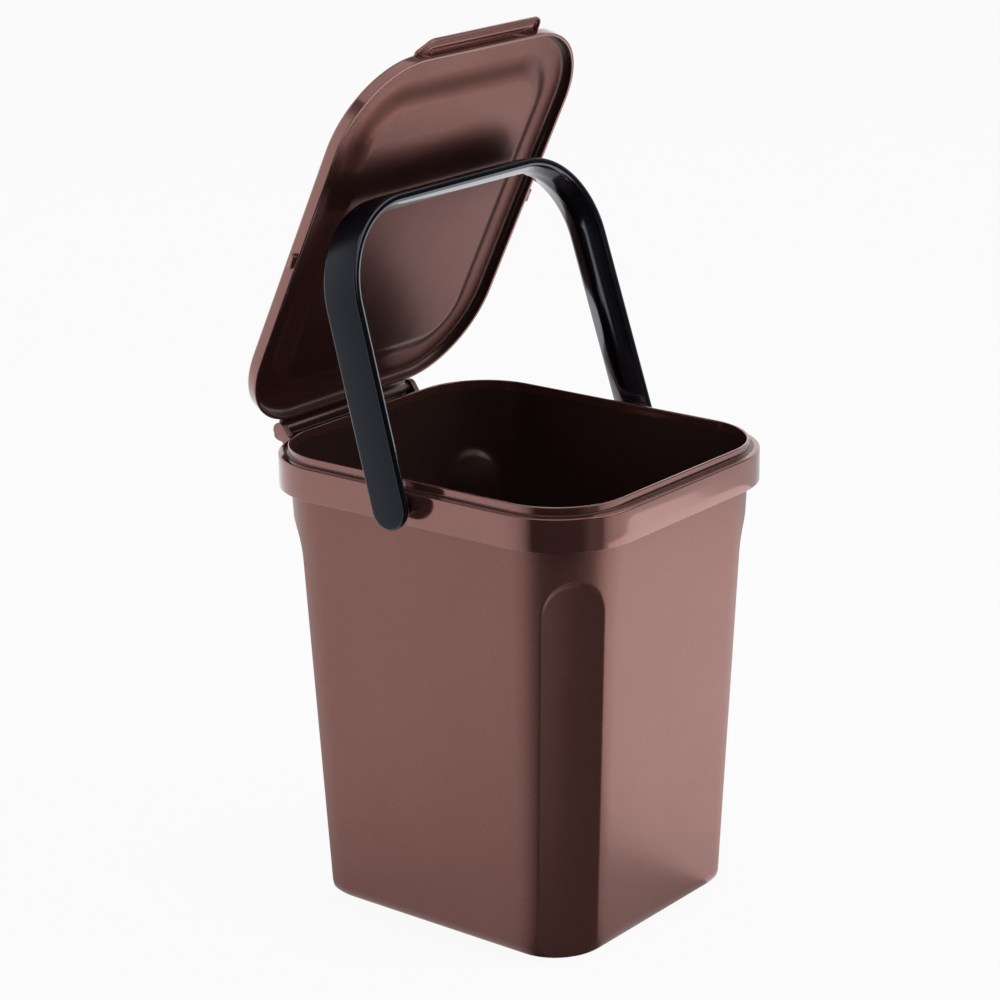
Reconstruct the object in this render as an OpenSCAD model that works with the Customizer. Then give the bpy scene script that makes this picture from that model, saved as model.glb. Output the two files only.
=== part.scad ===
// Compost caddy with a hinged lid and a swinging carrying handle.
// The bucket stands on z = 0 with its front towards -Y and its hinge towards +Y.
// The lid is drawn open, leaning on the handle, which leans back a little.

/* [Bucket rim] */
// Outer width of the rim band, side to side
rim_w = 200; // [170:1:240]
// Outer depth of the rim band, front to back
rim_d = 230; // [200:1:270]
// Height of the flat shelf on top of the rim band
rim_z = 260; // [220:1:320]
// Corner radius of the rim band, seen from above
rim_r = 48; // [44:1:56]
// Height of the rim band
band_h = 18.5; // [16:0.5:26]
// Wall of the rim band and of its shelf
band_t = 2; // [1.6:0.1:2.4]
// Width of the shelf between the band's face and the upstanding lip
shelf_w = 5.7; // [5.6:0.1:7]
// Height of the lip over the shelf
lip_h = 4.5; // [3:0.5:4.8]
// Thickness of the lip
lip_t = 1.6; // [1.2:0.1:2]

/* [Bucket body] */
// Width of the body at the floor
foot_w = 171; // [150:0.5:186]
// Depth of the body at the floor
foot_d = 191.6; // [165:0.5:215]
// Corner radius of the body at the floor
foot_r = 34; // [28:1:40]
// Radius of the rounded edge under the body
foot_edge = 12; // [6:1:14]
// Wall thickness near the floor
wall = 2; // [1.6:0.1:3]
// Thickness of the floor
floor_t = 2.6; // [2:0.1:4]
// Width of the flute down each corner
flute_w = 34.5; // [24:1:38]
// How far a flute turns from the corner's diagonal towards the front or back, in degrees
flute_turn = 4.5; // [0:0.5:8]
// How far the floor of a flute is hollowed behind its edges
flute_sag = 2.2; // [1:0.5:4]
// Height of the top of the flutes
flute_top = 224; // [150:1:230]

/* [Lid] */
// How far the lid's sides stay inside the faces of the band
lid_back = 0.1; // [0:0.1:1]
// How far the lid reaches past the band at the front and the back
lid_over = 2.3; // [1:0.1:3]
// Corner radius of the lid
lid_r = 51.5; // [48:0.5:56]
// Height of the lid's skirt, rim to top
lid_h = 7.9; // [7.4:0.1:10]
// Sheet thickness of the lid
lid_t = 1.9; // [1.6:0.1:2.2]
// Width of the raised border around the sunken panel
border_w = 21.9; // [16:0.1:28]
// Depth of the sunken panel under the border
panel_drop = 4.9; // [3:0.1:5]
// Width of the grip tab at its root
tab_w = 104; // [70:1:120]
// Reach of the grip tab in front of the lid
tab_out = 7.6; // [6:0.2:14]
// Depth of the turned-down edge of the grip tab
tab_lip = 4.4; // [3:0.1:6]
// Reach of the small catches on the lid's sides
catch_out = 3.2; // [1.5:0.1:3.4]
// Length of the small catches
catch_l = 8; // [4:0.5:14]

/* [Lid hinge] */
// Distance of the hinge axis behind the rim band
hinge_out = 10.5; // [9:0.5:13]
// Height of the hinge axis over the shelf
hinge_up = 2; // [1.5:0.5:4]
// Distance between the outer faces of the two hinge ears
ear_span = 116; // [80:1:130]
// Thickness of a hinge ear
ear_t = 4; // [3:0.5:6]
// Radius of the round end of a hinge ear
ear_r = 4.4; // [4:0.1:5]
// Diameter of the lid's hinge barrel
barrel_d = 6.4; // [6:0.2:7]
// Diameter of the lid's hinge pins
hinge_pin_d = 4; // [3:0.5:4.5]

/* [Handle] */
// Height of the handle, pivot to the top of the grip
handle_h = 159; // [150:1:190]
// Length of the spacer boss between the band and an arm
boss_l = 4.4; // [4:0.1:8]
// How far each arm leans inwards on its way up, over its height
arm_in = 5.9; // [0:0.1:7]
// Outer radius of the handle's two corners
bend_r = 54; // [30:1:60]
// Width of the strap
strap_w = 23.4; // [18:0.2:26]
// Thickness of the strap
strap_t = 8.2; // [7:0.1:9]
// Height of the pivots under the shelf
pivot_down = 6.8; // [6.4:0.1:9]
// Diameter of the pivot pins
pivot_d = 7.5; // [6:0.5:8]
// Diameter of the pin's snap head
head_d = 8.8; // [8.5:0.1:9]
// Diameter of the spacer boss between arm and band
boss_d = 13; // [11:0.5:13]
// How far the handle leans back at rest, in degrees
handle_lean = 16.6; // [12:0.1:20]

/* [Fits] */
// Radial clearance of a pin in its bore
pin_gap = 0.08; // [0.02:0.01:0.1]
// Clearance between faces that pass one another
side_gap = 0.4; // [0.3:0.05:0.8]
// Clearance between the closed lid's rim and the shelf
seat_gap = 0.4; // [0.3:0.05:0.8]
// Clearance between the open lid's panel and the handle it leans on
lean_gap = 1.2; // [0.3:0.1:3]

/* [Hidden] */
$fn = 96;
lip_w = rim_w - 2 * shelf_w;
lip_d = rim_d - 2 * shelf_w;
lip_r = rim_r - shelf_w;
lid_w = rim_w - 2 * lid_back;
lid_d = rim_d + 2 * lid_over;
lid_z = rim_z + seat_gap;
lid_top = lid_z + lid_h;
panel_top = lid_top - panel_drop;
panel_z = panel_top - lid_t;
hinge_y = rim_d / 2 + hinge_out;
hinge_z = rim_z + hinge_up;
ear_x = ear_span / 2;
barrel_x = ear_x - ear_t - side_gap;
pivot_z = rim_z - pivot_down;
boss_x = rim_w / 2 + side_gap;
arm_x = boss_x + boss_l + strap_t;
arm_angle = atan(arm_in / handle_h);
pin_in = rim_w / 2 - band_t - 0.5;
grip_l = handle_h - bend_r;
bend_x = arm_x - (bend_r + grip_l * sin(arm_angle)) / cos(arm_angle);
arm_l = (grip_l + bend_r * sin(arm_angle)) / cos(arm_angle);
edge_t = 1;
bend_lap = 1;
bend_step = 0.03;
// The open angle puts the lid's panel on the back edge of the handle's grip
grip_y = (handle_h - edge_t) * sin(handle_lean) + strap_w / 2 * cos(handle_lean);
grip_z = pivot_z + (handle_h - edge_t) * cos(handle_lean) - strap_w / 2 * sin(handle_lean);
prop_y = hinge_y - grip_y;
prop_z = grip_z - hinge_z;
prop_n = panel_z - hinge_z - lean_gap;
lid_open = acos(prop_n / norm([prop_y, prop_z])) - atan2(prop_y, prop_z);
bucket_color = "#7d5a55";
lid_color = "#86625d";
handle_color = "#202124";

// Rounded rectangle about the origin
module round_rect(w, d, r) {
  square([w - 2 * r, d], center = true);
  square([w, d - 2 * r], center = true);
  for (x = [-1, 1], y = [-1, 1])
    translate([x * (w / 2 - r), y * (d / 2 - r)]) circle(r = r);
}

// Frame that carries a profile around a rounded rectangle
// The profile's x runs inwards from the outer edge, and its y is the height
module frame(w, d, r) {
  for (k = [0, 1]) rotate([0, 0, 180 * k]) {
    translate([w / 2, d / 2 - r, 0]) rotate([90, 0, 0])
      linear_extrude(d - 2 * r) mirror([1, 0]) children();
    translate([w / 2 - r, -d / 2, 0]) rotate([90, 0, -90])
      linear_extrude(w - 2 * r) mirror([1, 0]) children();
    translate([w / 2 - r, d / 2 - r, 0])
      rotate_extrude(angle = 90) translate([r, 0]) mirror([1, 0]) children();
    translate([w / 2 - r, r - d / 2, 0]) rotate([0, 0, -90])
      rotate_extrude(angle = 90) translate([r, 0]) mirror([1, 0]) children();
  }
}

// Band, shelf and lip in one section
module rim_profile() {
  e = 0.8;
  join = shelf_w + lip_t;
  polygon([
    [0, rim_z - band_h], [0, rim_z - e], [0.25 * e, rim_z - 0.25 * e], [e, rim_z],
    [shelf_w - e, rim_z], [shelf_w, rim_z + e], [shelf_w, rim_z + lip_h - 0.4],
    [shelf_w + 0.4, rim_z + lip_h], [join - 0.4, rim_z + lip_h], [join, rim_z + lip_h - 0.4],
    [join, rim_z - band_t], [band_t + 0.3, rim_z - band_t],
    [band_t, rim_z - band_t - 0.3], [band_t, rim_z - band_h]
  ]);
}

// Tapered body with rounded corners, inset all round by a wall
module body(inset, inset_top, bottom, top_z) {
  r0 = foot_r - inset;
  r1 = lip_r - inset_top;
  e = foot_edge - inset;
  hull() {
    for (x = [-1, 1], y = [-1, 1]) {
      translate([x * (foot_w / 2 - foot_r), y * (foot_d / 2 - foot_r), bottom + e])
        rotate_extrude($fn = 64) intersection() {
          translate([r0 - e, 0]) circle(r = e, $fn = 32);
          translate([0, -e]) square([r0, e]);
        }
      translate([x * (lip_w / 2 - lip_r), y * (lip_d / 2 - lip_r), top_z - 1])
        cylinder(r = r1, h = 1, $fn = 64);
    }
  }
}

// Section of a flute's cutter: x runs across the flute, y runs out of the corner
module flute_section(grow) {
  half = flute_w / 2 + 0.6 * grow;
  deep = flute_sag + grow;
  rise = 6;
  polygon(concat(
    [for (k = [0:10]) [half * k / 10, -deep * cos(9 * k) - 0.15 * grow]],
    [[half + rise, rise - 0.15 * grow], [half + rise, 40], [0, 40]]
  ));
}

// Cutter for the flute at one corner, deeper by a wall where it is inside
module flute(grow) {
  t = flute_top / rim_z;
  r_low = foot_r;
  r_up = foot_r + (lip_r - foot_r) * t;
  c_low = sqrt(r_low * r_low - flute_w * flute_w / 4);
  c_up = sqrt(r_up * r_up - flute_w * flute_w / 4);
  face = 45 + flute_turn;
  n = [cos(face), sin(face)];
  p = [foot_w / 2, foot_d / 2] - [r_low, r_low] + c_low * n;
  q = [foot_w, foot_d] / 2 * (1 - t) + [lip_w, lip_d] / 2 * t - [r_up, r_up] + c_up * n;
  out = (q - p) * n;
  side = (q - p) * [-n[1], n[0]];
  end_z = flute_top - flute_w / 2 - 4;
  translate([p[0], p[1], 0]) rotate([0, 0, face]) rotate([-atan(side / flute_top), 0, 0])
    rotate([0, atan(out / flute_top), 0]) {
      for (k = [0, 1]) mirror([0, k, 0]) translate([0, 0, -30]) rotate([0, 0, -90])
        linear_extrude(end_z + 30) mirror([1, 0]) flute_section(grow);
      translate([0, 0, end_z]) rotate([0, 90, 0])
        rotate_extrude($fn = 64) flute_section(grow);
    }
}

// All four flutes
module flutes(grow) {
  for (x = [0, 1], y = [0, 1]) mirror([x, 0, 0]) mirror([0, y, 0]) flute(grow);
}

// Ear that carries one end of the lid's hinge
module ear() {
  root_y = rim_d / 2 - band_t / 2;
  low_z = rim_z - band_h + 7;
  translate([ear_x - ear_t, 0, 0]) rotate([90, 0, 90]) linear_extrude(ear_t) {
    translate([hinge_y, hinge_z]) circle(r = ear_r, $fn = 48);
    polygon([
      [root_y, low_z], [root_y, rim_z - 1], [lid_d / 2 + side_gap, rim_z - 1],
      [hinge_y - ear_r * 0.8, hinge_z + ear_r * 0.6],
      [hinge_y + ear_r * 0.96, hinge_z - ear_r * 0.28], [root_y + 2.5, low_z]
    ]);
  }
}

// Bucket with its rim band, lip, flutes and hinge ears
module bucket() {
  color(bucket_color) difference() {
    union() {
      difference() {
        body(0, 0, 0, rim_z);
        flutes(0);
      }
      frame(rim_w, rim_d, rim_r) rim_profile();
      for (x = [0, 1]) mirror([x, 0, 0]) ear();
    }
    difference() {
      body(wall, lip_t, floor_t, rim_z);
      flutes(wall);
    }
    translate([0, 0, rim_z - 1.5])
      linear_extrude(lip_h + 3) round_rect(lip_w - 2 * lip_t, lip_d - 2 * lip_t, lip_r - lip_t);
    for (x = [-1, 1]) {
      translate([x * (rim_w / 2 - band_t / 2), 0, pivot_z]) rotate([0, 90, 0])
        cylinder(d = pivot_d + 2 * pin_gap, h = band_t + 1, center = true, $fn = 48);
      translate([x * (ear_x - ear_t / 2), hinge_y, hinge_z]) rotate([0, 90, 0])
        cylinder(d = hinge_pin_d + 2 * pin_gap, h = ear_t + 1, center = true, $fn = 48);
    }
  }
}

// Skirt, border and wall of the sunken panel in one section
module lid_profile() {
  e = 1.8;
  well = border_w;
  polygon([
    [0, lid_z], [0.5, lid_top - e], [0.5 + 0.3 * e, lid_top - 0.3 * e], [0.5 + e, lid_top],
    [well + lid_t - e, lid_top], [well + lid_t, lid_top - e], [well + lid_t + 0.6, panel_top + e / 2],
    [well + lid_t + 0.6 + e, panel_top], [well + lid_t + 5, panel_top],
    [well + lid_t + 5, panel_z], [well + e, panel_z], [well, panel_z + e],
    [well - 0.6, lid_top - lid_t - e / 2], [well - 0.6 - e, lid_top - lid_t],
    [lid_t + e, lid_top - lid_t], [lid_t, lid_top - lid_t - e], [lid_t - 0.3, lid_z]
  ]);
}

// Outline of the grip tab, seen from above, shrunk by an inset
module tab_outline(inset) {
  r = 7 - inset;
  front = -lid_d / 2 - tab_out + 7;
  root = tab_w / 2 - inset;
  tip = tab_w / 2 - 10;
  for (x = [-1, 1]) translate([x * tip, front]) circle(r = r, $fn = 48);
  polygon([
    [-root, 4 - lid_d / 2], [-tip - r * 0.77, front - r * 0.64], [-tip, front - r],
    [tip, front - r], [tip + r * 0.77, front - r * 0.64], [root, 4 - lid_d / 2]
  ]);
}

// Grip tab with its turned-down edge
module grip_tab() {
  difference() {
    translate([0, 0, lid_top - tab_lip]) linear_extrude(tab_lip) tab_outline(0);
    translate([0, 0, lid_top - tab_lip - 1])
      linear_extrude(tab_lip + 1 - lid_t) tab_outline(lid_t - 0.3);
    translate([0, 0, lid_z - 1])
      linear_extrude(lid_h + 1 - lid_t) round_rect(lid_w - 2, lid_d - 2, lid_r - 1);
    translate([0, 0, lid_z]) linear_extrude(lid_h + 1)
      round_rect(lid_w - 4, lid_d - 4, lid_r - 2);
  }
}

// Leaf, barrel and pins that join the lid to the ears
module hinge_leaf() {
  leaf_z = lid_top - lid_t;
  back = lid_d / 2 - lid_t;
  translate([-barrel_x, 0, 0]) rotate([90, 0, 90]) linear_extrude(2 * barrel_x) {
    translate([hinge_y, hinge_z]) circle(d = barrel_d, $fn = 48);
    polygon([
      [back, leaf_z], [back, lid_top - 0.4], [hinge_y - barrel_d * 0.1, lid_top - 0.4],
      [hinge_y + barrel_d * 0.42, hinge_z + barrel_d * 0.27],
      [hinge_y - barrel_d * 0.4, hinge_z + barrel_d * 0.3]
    ]);
  }
  translate([-ear_x, hinge_y, hinge_z]) rotate([0, 90, 0])
    cylinder(d = hinge_pin_d, h = 2 * ear_x, $fn = 48);
}

// Small catch on one side of the lid
module side_catch() {
  translate([lid_w / 2 - 1, -catch_l / 2, lid_z + 0.3]) cube([catch_out + 1, catch_l, 3.4]);
}

// Lid as it lies when it is shut
module shut_lid() {
  well = border_w + lid_t + 4;
  frame(lid_w, lid_d, lid_r) lid_profile();
  translate([0, 0, panel_z]) linear_extrude(lid_t)
    round_rect(lid_w - 2 * well, lid_d - 2 * well, lid_r - well);
  grip_tab();
  hinge_leaf();
  for (x = [0, 1]) mirror([x, 0, 0]) side_catch();
}

// Lid in its open place, leaning on the handle
module lid() {
  color(lid_color) translate([0, hinge_y, hinge_z]) rotate([-lid_open, 0, 0])
    translate([0, -hinge_y, -hinge_z]) shut_lid();
}

// Strap section: x is the depth from the outer face, y runs across the strap
module strap_section(step = 0) {
  w = strap_w / 2 - step;
  t = strap_t - 2 * step;
  translate([step, 0]) polygon([
    [0, 0], [0.12, 0.45 * w], [0.4, w - 1], [edge_t, w], [0.32 * t, w - 0.4],
    [0.62 * t, w - 2.8], [0.86 * t, w - 4.9], [t, w - 6.6],
    [t, 6.6 - w], [0.86 * t, 4.9 - w], [0.62 * t, 2.8 - w], [0.32 * t, 0.4 - w],
    [edge_t, -w], [0.4, 1 - w], [0.12, -0.45 * w]
  ]);
}

// One arm with its round end, spacer boss and snap pin
module arm() {
  translate([arm_x, 0, 0]) rotate([0, -arm_angle, 0]) {
    linear_extrude(arm_l) mirror([1, 0]) strap_section();
    rotate([0, -90, 0]) rotate([0, 0, 90]) rotate_extrude(angle = 180) intersection() {
      rotate(90) mirror([0, 1]) strap_section();
      translate([0, -1]) square([strap_w, strap_t + 2]);
    }
  }
  translate([boss_x, 0, 0]) rotate([0, 90, 0])
    cylinder(d = boss_d, h = arm_x - strap_t / 2 - boss_x, $fn = 48);
  translate([pin_in - 1, 0, 0]) rotate([0, 90, 0])
    cylinder(d = pivot_d, h = boss_x - pin_in + 2, $fn = 48);
  translate([pin_in, 0, 0]) rotate([0, -90, 0]) {
    cylinder(d = head_d, h = 0.8, $fn = 48);
    translate([0, 0, 0.8]) cylinder(d1 = head_d, d2 = pivot_d - 1, h = 1, $fn = 48);
  }
}

// Bend between an arm and the grip, a hair thinner so that its ends enter both straight runs
module bend() {
  translate([bend_x, 0, grip_l]) rotate([90, 0, 0]) rotate([0, 0, arm_angle - bend_lap])
    rotate_extrude(angle = 90 - arm_angle + 2 * bend_lap, $fn = 128)
    translate([bend_r, 0]) mirror([1, 0]) strap_section(bend_step);
}

// Handle in its place at rest
module handle() {
  color(handle_color) translate([0, 0, pivot_z]) rotate([-handle_lean, 0, 0]) {
    for (x = [0, 1]) mirror([x, 0, 0]) {
      arm();
      bend();
    }
    translate([-bend_x, 0, handle_h]) rotate([0, 90, 0])
      linear_extrude(2 * bend_x) strap_section();
  }
}

bucket();
lid();
handle();
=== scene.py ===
"""Kitchen compost caddy: a fluted bucket, a hinged lid and a swinging handle.

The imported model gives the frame. Each moulding is built again as a finer mesh that stands for its
CAD node, rides on the same body and keeps the same sizes. Sizes in the classes are millimetres,
apart from the studio's, which are metres unless they say otherwise.
"""

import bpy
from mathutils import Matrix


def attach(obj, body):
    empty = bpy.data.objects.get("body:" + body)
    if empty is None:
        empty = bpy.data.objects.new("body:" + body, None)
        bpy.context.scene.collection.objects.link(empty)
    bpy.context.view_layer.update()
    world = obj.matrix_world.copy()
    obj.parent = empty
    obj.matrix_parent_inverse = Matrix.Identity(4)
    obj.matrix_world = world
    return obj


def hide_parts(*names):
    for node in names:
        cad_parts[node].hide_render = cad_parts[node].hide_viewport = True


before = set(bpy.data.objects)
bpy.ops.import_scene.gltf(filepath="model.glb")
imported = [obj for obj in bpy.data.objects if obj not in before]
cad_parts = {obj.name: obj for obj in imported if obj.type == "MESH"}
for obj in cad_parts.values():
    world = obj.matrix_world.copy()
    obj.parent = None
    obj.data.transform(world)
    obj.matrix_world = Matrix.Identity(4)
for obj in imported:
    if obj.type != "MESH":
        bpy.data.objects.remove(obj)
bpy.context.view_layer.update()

import logging
import math
from collections.abc import Callable, Iterator
from contextlib import contextmanager
from dataclasses import dataclass, field
from enum import Enum

import bmesh
import bpy
import numpy as np
from mathutils import Matrix, Vector

LOG = logging.getLogger("caddy")
MM = 0.001
FINE = 2e-5  # distance in metres under which two points of a swept piece are one
Point2 = tuple[float, float]
Point3 = tuple[float, float, float]
Faces = list[list[int]]
Block = tuple[np.ndarray, Faces]


class Body(Enum):
    """The rigid bodies that the pieces ride on."""

    BUCKET = "bucket"
    LID = "lid"
    HANDLE = "handle"


# ---------------------------------------------------------------------------
# Mesh helpers
# ---------------------------------------------------------------------------


def linear(hex_colour: str) -> tuple[float, float, float, float]:
    """Turn an sRGB hex colour into linear RGBA.

    Args:
        hex_colour: Colour as "#rrggbb".

    Returns:
        Linear red, green, blue and an alpha of 1.
    """
    channels = [int(hex_colour[i:i + 2], 16) / 255 for i in (1, 3, 5)]
    values = [c / 12.92 if c <= 0.04045 else ((c + 0.055) / 1.055) ** 2.4 for c in channels]
    return (*values, 1.0)


def make_object(name: str, mesh: bpy.types.Mesh) -> bpy.types.Object:
    """Link a mesh to the scene as an object at the origin.

    Args:
        name: Name of the object.
        mesh: Its mesh.

    Returns:
        The object.
    """
    obj = bpy.data.objects.new(name, mesh)
    bpy.context.scene.collection.objects.link(obj)
    return obj


def mesh_from(name: str, block: Block) -> bpy.types.Mesh:
    """Make a mesh from points and faces in millimetres.

    Args:
        name: Name of the mesh.
        block: The points and faces.

    Returns:
        The mesh, in metres.
    """
    points, faces = block
    mesh = bpy.data.meshes.new(name)
    mesh.from_pydata((np.asarray(points) * MM).tolist(), [], faces)
    mesh.validate()
    return mesh


@contextmanager
def edited(mesh: bpy.types.Mesh) -> Iterator[bmesh.types.BMesh]:
    """Open a mesh for editing, and write it back when the block ends.

    Args:
        mesh: The mesh.

    Yields:
        The mesh in its editable form.
    """
    work = bmesh.new()
    work.from_mesh(mesh)
    yield work
    work.to_mesh(mesh)
    work.free()


def smooth(mesh: bpy.types.Mesh, crease: float = 40.0) -> None:
    """Shade a mesh smooth, apart from edges sharper than the crease angle in degrees."""
    mesh.shade_smooth()
    mesh.set_sharp_from_angle(angle=math.radians(crease))


def tidy(mesh: bpy.types.Mesh, crease: float, merge: float = 1e-6) -> None:
    """Merge doubles, turn the faces outwards and shade smooth between sharp edges.

    Args:
        mesh: Mesh that is changed in place.
        crease: Angle in degrees over which an edge stays sharp.
        merge: Distance in metres under which two points are one.
    """
    with edited(mesh) as work:
        bmesh.ops.remove_doubles(work, verts=work.verts, dist=merge)
        bmesh.ops.dissolve_degenerate(work, edges=work.edges, dist=merge)
        bmesh.ops.recalc_face_normals(work, faces=work.faces)
    smooth(mesh, crease)


def graft(work: bmesh.types.BMesh, block: Block) -> None:
    """Add points and faces in millimetres to a mesh that is being edited.

    Args:
        work: The mesh in its editable form.
        block: The points and faces.
    """
    points, faces = block
    verts = [work.verts.new(tuple(point)) for point in points * MM]
    for face in faces:
        work.faces.new([verts[v] for v in face])


def freeze(obj: bpy.types.Object) -> bpy.types.Object:
    """Replace an object's mesh with its evaluated result and drop the modifiers.

    Args:
        obj: The object.

    Returns:
        The same object with a plain mesh.
    """
    graph = bpy.context.evaluated_depsgraph_get()
    result = bpy.data.meshes.new_from_object(obj.evaluated_get(graph), depsgraph=graph)
    obj.modifiers.clear()
    result.name = obj.name
    obj.data = result
    return obj


def bevelled(obj: bpy.types.Object, width: float, segments: int = 3, angle: float = 35.0) -> None:
    """Round an object's sharp edges and make the result its own mesh.

    Args:
        obj: The object.
        width: Bevel width in millimetres.
        segments: Number of faces across each rounded edge.
        angle: Edges sharper than this many degrees are rounded.
    """
    bevel = obj.modifiers.new("edge_radius", "BEVEL")
    bevel.width = width * MM
    bevel.segments = segments
    bevel.limit_method = "ANGLE"
    bevel.angle_limit = math.radians(angle)
    freeze(obj)


def placed(pieces: list[bpy.types.Object], place: Matrix) -> None:
    """Move the meshes of pieces, so that their objects stay at the origin.

    Args:
        pieces: The pieces.
        place: Where their meshes go, in metres.
    """
    for piece in pieces:
        piece.data.transform(place)
        piece.data.update()


def grid(rows: int, count: int, closed: bool) -> Faces:
    """List the faces between rows of points that follow one another.

    Args:
        rows: Number of rows.
        count: Number of points in a row.
        closed: Whether each row closes into a ring.

    Returns:
        Point numbers of each face.
    """
    faces = []
    for row in range(rows - 1):
        for k in range(count if closed else count - 1):
            a, b = row * count + k, row * count + (k + 1) % count
            faces.append([a, b, b + count, a + count])
    return faces


def loft(rows: list[np.ndarray]) -> Block:
    """Join closed rings of equal length into a skin, and fill the first and the last.

    Args:
        rows: Rings of points, each an array of x, y, z rows.

    Returns:
        All points, and the faces with the two fillings at the end.
    """
    count = len(rows[0])
    faces = grid(len(rows), count, True)
    faces.append(list(range(count)))
    faces.append([(len(rows) - 1) * count + k for k in range(count)])
    return np.concatenate(rows), faces


def gather(blocks: list[Block]) -> Block:
    """Put several blocks of points and faces together.

    Args:
        blocks: The blocks.

    Returns:
        All their points and faces.
    """
    faces, first = [], 0
    for points, block_faces in blocks:
        faces += [[v + first for v in face] for face in block_faces]
        first += len(points)
    return np.concatenate([points for points, _ in blocks]), faces


def prism(outline: list[Point2], x_low: float, x_high: float) -> Block:
    """Extrude an outline in the YZ plane along X.

    Args:
        outline: Points y, z in order.
        x_low: Where the prism starts.
        x_high: Where the prism ends.

    Returns:
        Points and faces of the closed prism.
    """
    return loft([np.array([[x, y, z] for y, z in outline]) for x in (x_low, x_high)])


def lathe_x(profile: list[Point2], sign: int, steps: int = 64) -> Block:
    """Turn a profile about the X axis.

    Args:
        profile: Points x, radius in order.
        sign: 1 for the +X side and -1 for the -X side.
        steps: Number of faces round the axis.

    Returns:
        Points and faces of the closed solid.
    """
    turn = np.linspace(0, 2 * math.pi, steps, endpoint=False)
    return loft([
        np.stack([np.full(steps, sign * x), r * np.cos(turn), r * np.sin(turn)], 1)
        for x, r in profile])


def arc(cx: float, cy: float, radius: float, start: float, end: float, steps: int) -> list[Point2]:
    """Points on an arc, both ends included, with angles in degrees."""
    angles = np.radians(np.linspace(start, end, steps + 1))
    return [(cx + radius * math.cos(a), cy + radius * math.sin(a)) for a in angles]


# ---------------------------------------------------------------------------
# Finishes
# ---------------------------------------------------------------------------


def add_node(tree: bpy.types.NodeTree, kind: str, links: dict | None = None,
             **settings) -> bpy.types.Node:
    """Add a node with its settings and links.

    Args:
        tree: The node tree.
        kind: Blender's type name of the node.
        links: Input names or numbers, each with the output socket or the value it gets.
        settings: Properties of the node.

    Returns:
        The new node.
    """
    node = tree.nodes.new(kind)
    for key, value in settings.items():
        setattr(node, key, value)
    for key, value in (links or {}).items():
        socket = node.inputs[key]
        if isinstance(value, bpy.types.NodeSocket):
            tree.links.new(value, socket)
        else:
            socket.default_value = value
    return node


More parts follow.
